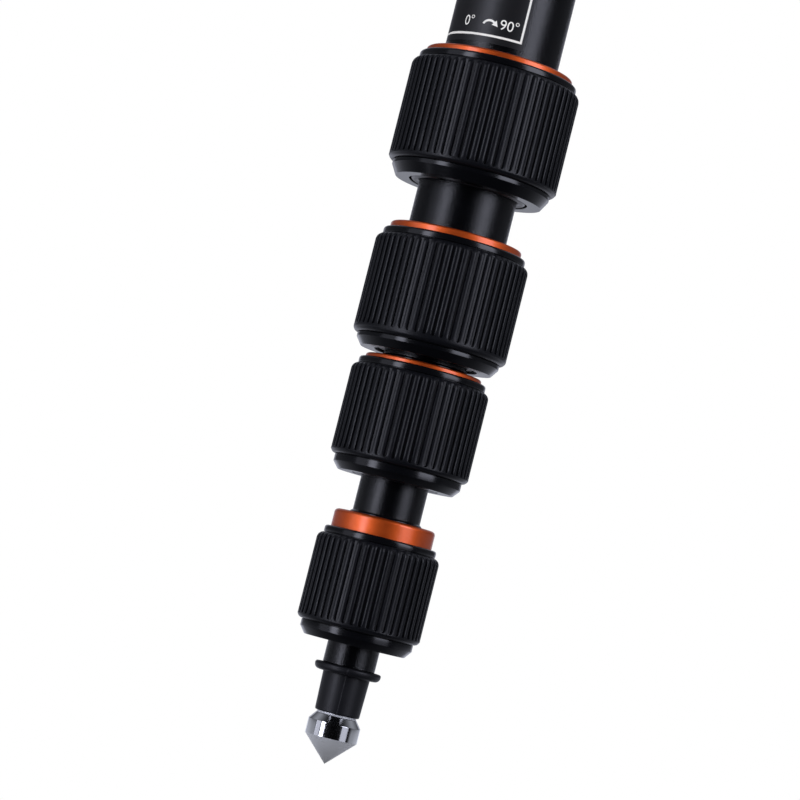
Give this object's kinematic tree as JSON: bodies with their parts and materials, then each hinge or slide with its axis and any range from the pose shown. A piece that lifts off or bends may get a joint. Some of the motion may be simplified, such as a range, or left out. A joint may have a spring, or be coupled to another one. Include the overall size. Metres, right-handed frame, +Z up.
{
  "type": "telescopic tripod leg",
  "caption": "Telescopic tripod leg with ribbed twist locks, orange collars, a hinge eye with a pull-out angle stop, and a steel spike foot.",
  "frame": {"origin": "centre of the hinge bore in the eye, midway between the two bushes", "axes": "+Z up along the leg towards its top, with the spike at -Z; X along the hinge axle; -Y towards the leg's outer face"},
  "size_m": [0.0326, 0.0326, 0.339],
  "materials": {
    "tube_black": "black powder-coated, satin",
    "lock_black": "gloss black anodised",
    "grip_rubber": "matte charcoal",
    "ring_orange": "orange anodised, satin",
    "collet_plastic": "moulded nylon",
    "shim_plastic": "moulded acetal",
    "foot_plastic": "moulded nylon",
    "steel": "turned, band polished",
    "brass": "turned",
    "casting_black": "black powder-coated, satin",
    "bush_plastic": "moulded acetal",
    "tab_metal": "black anodised, satin",
    "spring_steel": "drawn wire"
  },
  "bodies": {
    "root": {"leg_casting": "casting_black", "pivot_bush_left": "bush_plastic", "pivot_bush_right": "bush_plastic", "tab_pin": "steel", "tab_spring": "spring_steel", "tube_1": "tube_black", "thread_sleeve_1": "lock_black", "accent_ring_1": "ring_orange"},
    "angle_tab": {"angle_tab": "tab_metal"},
    "section_2": {"tube_2": "tube_black", "guide_shim_2_left": "shim_plastic", "guide_shim_2_right": "shim_plastic", "thread_sleeve_2": "lock_black", "accent_ring_2": "ring_orange"},
    "section_3": {"tube_3": "tube_black", "guide_shim_3_left": "shim_plastic", "guide_shim_3_right": "shim_plastic", "thread_sleeve_3": "lock_black", "accent_ring_3": "ring_orange"},
    "section_4": {"tube_4": "tube_black", "guide_shim_4_left": "shim_plastic", "guide_shim_4_right": "shim_plastic", "thread_sleeve_4": "lock_black", "accent_ring_4": "ring_orange"},
    "section_5": {"tube_5": "tube_black", "guide_shim_5_left": "shim_plastic", "guide_shim_5_right": "shim_plastic", "foot_sleeve": "foot_plastic", "spike_insert": "brass", "spike": "steel"},
    "collet_1": {"collet_1": "collet_plastic"},
    "lock_nut_1": {"lock_nut_1": "lock_black", "grip_1": "grip_rubber"},
    "collet_2": {"collet_2": "collet_plastic"},
    "lock_nut_2": {"lock_nut_2": "lock_black", "grip_2": "grip_rubber"},
    "collet_3": {"collet_3": "collet_plastic"},
    "lock_nut_3": {"lock_nut_3": "lock_black", "grip_3": "grip_rubber"},
    "collet_4": {"collet_4": "collet_plastic"},
    "lock_nut_4": {"lock_nut_4": "lock_black", "grip_4": "grip_rubber"}
  },
  "joints": [
    {"name": "tab_pull", "type": "slide", "parent": "root", "child": "angle_tab", "axis": [0, -1, 0], "range_m": [0, 0.005], "stiffness_N_per_m": 300, "deforming": ["tab_spring"]},
    {"name": "lock_1_travel", "type": "slide", "parent": "root", "child": "collet_1", "axis": [0, 0, -1], "range_m": [0, 0.000625]},
    {"name": "lock_1_turn", "type": "hinge", "parent": "collet_1", "child": "lock_nut_1", "pos_m": [0, 0, 0], "axis": [0, 0, -1], "range_deg": [0, 90]},
    {"name": "section_2_slide", "type": "slide", "parent": "root", "child": "section_2", "axis": [0, 0, -1], "range_m": [-0.008, 0.144]},
    {"name": "lock_2_travel", "type": "slide", "parent": "section_2", "child": "collet_2", "axis": [0, 0, -1], "range_m": [0, 0.000625]},
    {"name": "lock_2_turn", "type": "hinge", "parent": "collet_2", "child": "lock_nut_2", "pos_m": [0, 0, 0], "axis": [0, 0, -1], "range_deg": [0, 90]},
    {"name": "section_3_slide", "type": "slide", "parent": "section_2", "child": "section_3", "axis": [0, 0, -1], "range_m": [0, 0.174]},
    {"name": "lock_3_travel", "type": "slide", "parent": "section_3", "child": "collet_3", "axis": [0, 0, -1], "range_m": [0, 0.000625]},
    {"name": "lock_3_turn", "type": "hinge", "parent": "collet_3", "child": "lock_nut_3", "pos_m": [0, 0, 0], "axis": [0, 0, -1], "range_deg": [0, 90]},
    {"name": "section_4_slide", "type": "slide", "parent": "section_3", "child": "section_4", "axis": [0, 0, -1], "range_m": [-0.0063, 0.188]},
    {"name": "lock_4_travel", "type": "slide", "parent": "section_4", "child": "collet_4", "axis": [0, 0, -1], "range_m": [-0.0025, 0.00063]},
    {"name": "lock_4_turn", "type": "hinge", "parent": "collet_4", "child": "lock_nut_4", "pos_m": [0, 0, 0], "axis": [0, 0, -1], "range_deg": [-360, 90]},
    {"name": "section_5_slide", "type": "slide", "parent": "section_4", "child": "section_5", "axis": [0, 0, -1], "range_m": [-0.0035, 0.211]}
  ],
  "couplings": [
    {"joint": "lock_1_travel", "follows": "lock_1_turn", "m_per_rad": 0.00039789},
    {"joint": "lock_2_travel", "follows": "lock_2_turn", "m_per_rad": 0.00039789},
    {"joint": "lock_3_travel", "follows": "lock_3_turn", "m_per_rad": 0.00039789},
    {"joint": "lock_4_travel", "follows": "lock_4_turn", "m_per_rad": 0.00039789}
  ]
}
